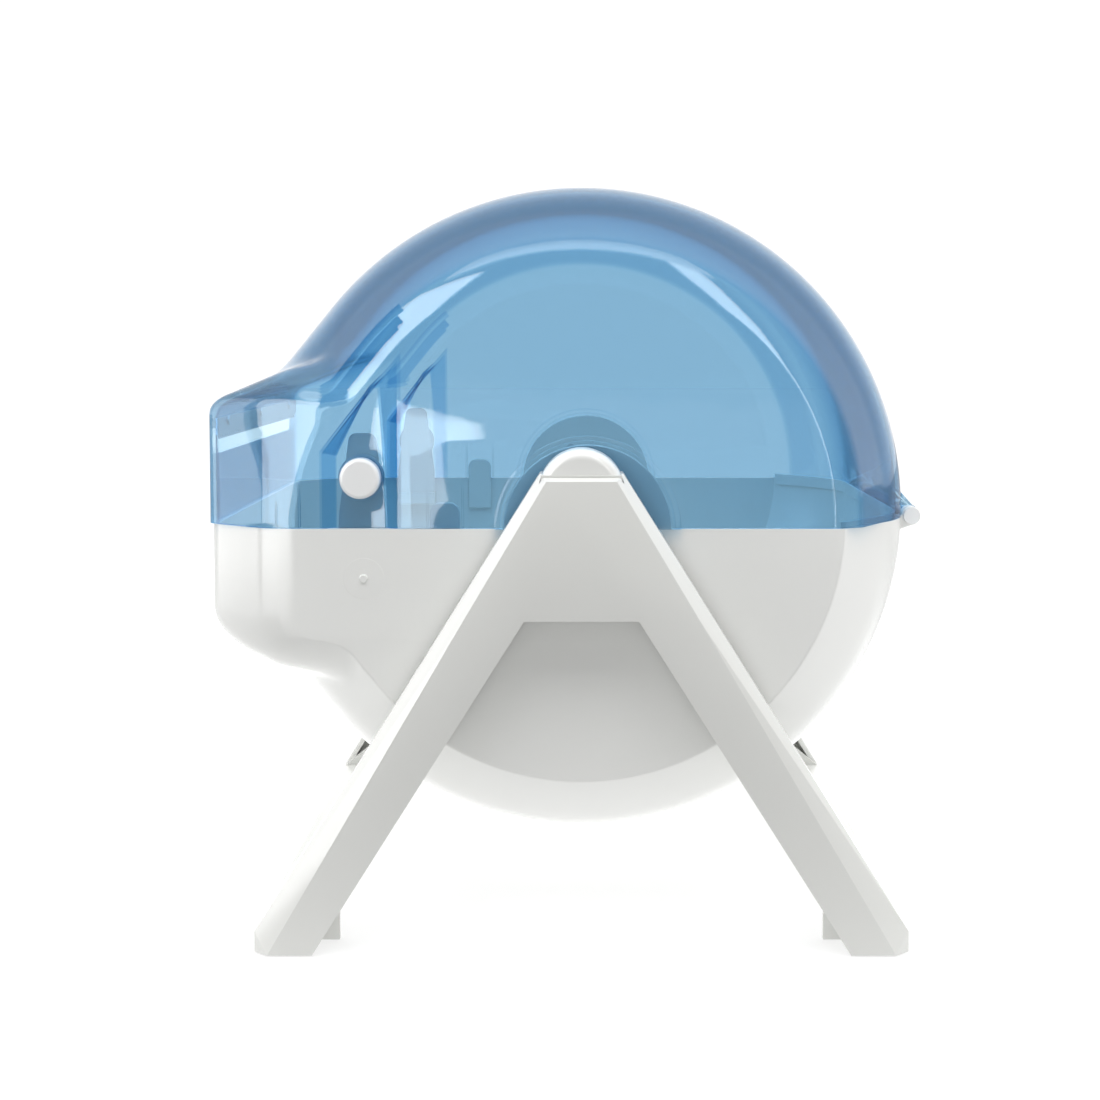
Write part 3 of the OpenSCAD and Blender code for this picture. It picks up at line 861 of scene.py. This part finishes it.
def close_top(piece, side):
    """Closes the notches that the round seat leaves beside the trunnion's rounded edge."""
    block = box_outline(-CAP_HALF, CAP_HALF, HUB_Z, HUB_Z + CAP_HEIGHT)
    add_plates(piece, [(block, side * (STAND_HALF - 8), side * (STAND_HALF - 3.2), 0.1)])
    end = STAND_HALF - 3.45
    hole_r = HUB_R + 0.05
    profile = [(end - 12, hole_r)]
    for degrees in range(0, 91, 15):
        a = math.radians(degrees)
        profile.append((end - HUB_EDGE * (1 - math.sin(a)), hole_r - HUB_EDGE * (1 - math.cos(a))))
    seat = Shell()
    seat.grid([at_y(disc(0, HUB_Z, r, 64), side * y) for y, r in profile], closed=True)
    for y, r in (profile[0], profile[-1]):
        seat.fill([disc(0, HUB_Z, r, 64)], side * y)
    combine(piece, seat)


def build_stand():
    for end, side in (("near", -1), ("far", 1)):
        mesh = softened("frame_" + end, STAND_EDGE)
        piece = make_piece("a_frame_" + end, mesh, "housing", stand_white, "frame_" + end)
        close_top(piece, side)


FINISH = {"white_shell": shell_white, "white_stand": stand_white, "white_button": button_white,
          "white_inner": inner_white, "clear_blue": clear_blue, "steel": steel, "pad_rubber": pad_rubber}


def finish_nodes():
    """Gives every CAD node the material of its slot and smooth shading."""
    for part in frame["record"]["subparts"]:
        obj = bpy.data.objects[part["node"]]
        obj.data.materials.clear()
        obj.data.materials.append(FINISH[part["material_slot"]])
        for polygon in obj.data.polygons:
            polygon.use_smooth = True
        obj.data.set_sharp_from_angle(angle=math.radians(STAND_SHARP))


build_cover()
build_base()
finish_nodes()
build_stand()

# ---------- stage, camera, light ----------

FLOOR_HALF = 8.0
FLOOR_GLOW = 0.61
# the floor's glow at places along Y, as everything but the camera sees it
FLOOR_FALL = [(-0.34, 0.0), (-0.04, 1.0), (0.14, 1.0), (0.42, 0.25)]
# brightness of the room from the camera's side (0) round to the side behind the object (1)
ROOM = [(0.0, 0.08), (0.25, 0.22), (0.5, 1.0), (0.75, 0.85), (1.0, 0.75)]
# the same as it lights matt surfaces: weaker behind the object
ROOM_LIGHT = [(0.0, 0.10), (0.25, 0.25), (0.5, 1.0), (0.75, 0.55), (1.0, 0.4)]
ROOM_STRENGTH = 2.1
WHITE = [(0.0, 1.0), (1.0, 1.0)]
WHITE_STRENGTH = 1.1
CARD_CENTRE = Vector((0, 0, 0.25))
CARD_DISTANCE = 1.3
# name, azimuth towards the left, elevation, width, height, strength, whether it lights as well
CARDS = [("card_left", 39, 9, 0.95, 1.2, 8, False),
         ("card_side", 80, 8, 0.75, 1.1, 4.8, False),
         ("card_right", -22, 12, 0.16, 1.3, 7, False),
         ("softbox_top", 0, 54, 1.15, 0.68, 4.2, True)]
# the camera that was fitted to the photo: place, tilt in degrees, focal length in image widths
CAMERA_AT = (HUB_X * MM - 0.00024, -0.9564, 0.3046)
CAMERA_TILT = -3.0
CAMERA_FOCAL = 1639.7 / 1100
CAMERA_SHIFT = (-0.0282, -0.12)
SENSOR = 36


def sheet(name, corners, material):
    """A four-cornered sheet with one material, for the floor or a card."""
    mesh = bpy.data.meshes.new(name)
    mesh.from_pydata(corners, [], [(0, 1, 2, 3)])
    mesh.materials.append(material)
    obj = new_object(name, mesh)
    return obj


def build_stage():
    """A pale floor, lit brightly behind and under the object and less towards the camera."""
    n = Nodes("paper")
    paper = n.add("BsdfDiffuse", Color=(0.4, 0.4, 0.4, 1))
    place = n.add("TexCoord")
    split = n.add("SeparateXYZ")
    n.link(place.outputs["Object"], split.inputs[0])
    place_y = n.math("ADD", split.outputs["Y"], 0.5)
    fall = n.grey_ramp(place_y, [(y + 0.5, grey) for y, grey in FLOOR_FALL])
    path = n.add("LightPath")
    level = n.add("Mix")
    n.link(path.outputs["Is Camera Ray"], level.inputs["Factor"])
    n.link(fall, level.inputs["A"])
    level.inputs["B"].default_value = FLOOR_GLOW
    glow = n.add("Emission")
    n.link(level.outputs[0], glow.inputs["Strength"])
    both = n.add("AddShader")
    n.link(paper.outputs[0], both.inputs[0])
    n.link(glow.outputs[0], both.inputs[1])
    n.link(both.outputs[0], n.out.inputs["Surface"])
    corners = [(x, y, 0) for x, y in box_outline(-FLOOR_HALF, FLOOR_HALF, -FLOOR_HALF, FLOOR_HALF)]
    sheet("floor", corners, n.material)


def reflector(name, azimuth, elevation, width, height, strength, lights):
    """A bright card that faces the object, for reflections, and for light if so asked."""
    n = Nodes(name)
    glow = n.add("Emission", Strength=strength)
    n.link(glow.outputs[0], n.out.inputs["Surface"])
    a, e = math.radians(azimuth), math.radians(elevation)
    away = Vector((-math.sin(a) * math.cos(e), -math.cos(a) * math.cos(e), math.sin(e)))
    across = Vector((math.cos(a), -math.sin(a), 0))
    upward = across.cross(away) * -1
    centre = CARD_CENTRE + away * CARD_DISTANCE
    corners = [centre + across * x * width / 2 + upward * z * height / 2
               for x, z in box_outline(-1, 1, -1, 1)]
    card = sheet(name, corners, n.material)
    card.visible_camera = False
    card.visible_diffuse = lights
    card.visible_shadow = False
    card.visible_transmission = False


def build_camera():
    data = bpy.data.cameras.new("camera")
    camera = new_object("camera", data)
    data.sensor_width = SENSOR
    data.lens = CAMERA_FOCAL * SENSOR
    data.shift_x, data.shift_y = CAMERA_SHIFT
    camera.location = CAMERA_AT
    camera.rotation_euler = (math.radians(90 + CAMERA_TILT), 0, 0)
    bpy.context.scene.camera = camera


def build_light():
    """A bright room with a dim camera side, white to the camera, and cards for the highlights."""
    n = Nodes("studio", world=True)
    bpy.context.scene.world = n.material
    place = n.add("TexCoord")
    split = n.add("SeparateXYZ")
    n.link(place.outputs["Generated"], split.inputs[0])
    across = n.math("MULTIPLY_ADD", split.outputs["Y"], 0.5, 0.5)
    path = n.add("LightPath")

    def room(steps, strength):
        background = n.add("Background", Strength=strength)
        n.link(n.grey_ramp(across, steps), background.inputs["Color"])
        return background.outputs[0]

    shown = room(ROOM, ROOM_STRENGTH)
    shown = n.mixed(path.outputs["Is Diffuse Ray"], shown, room(ROOM_LIGHT, ROOM_STRENGTH))
    shown = n.mixed(path.outputs["Is Camera Ray"], shown, room(WHITE, WHITE_STRENGTH))
    n.link(shown, n.out.inputs["Surface"])
    for card in CARDS:
        reflector(*card)


bpy.context.scene.view_settings.view_transform = "Standard"
build_stage()
build_camera()
build_light()
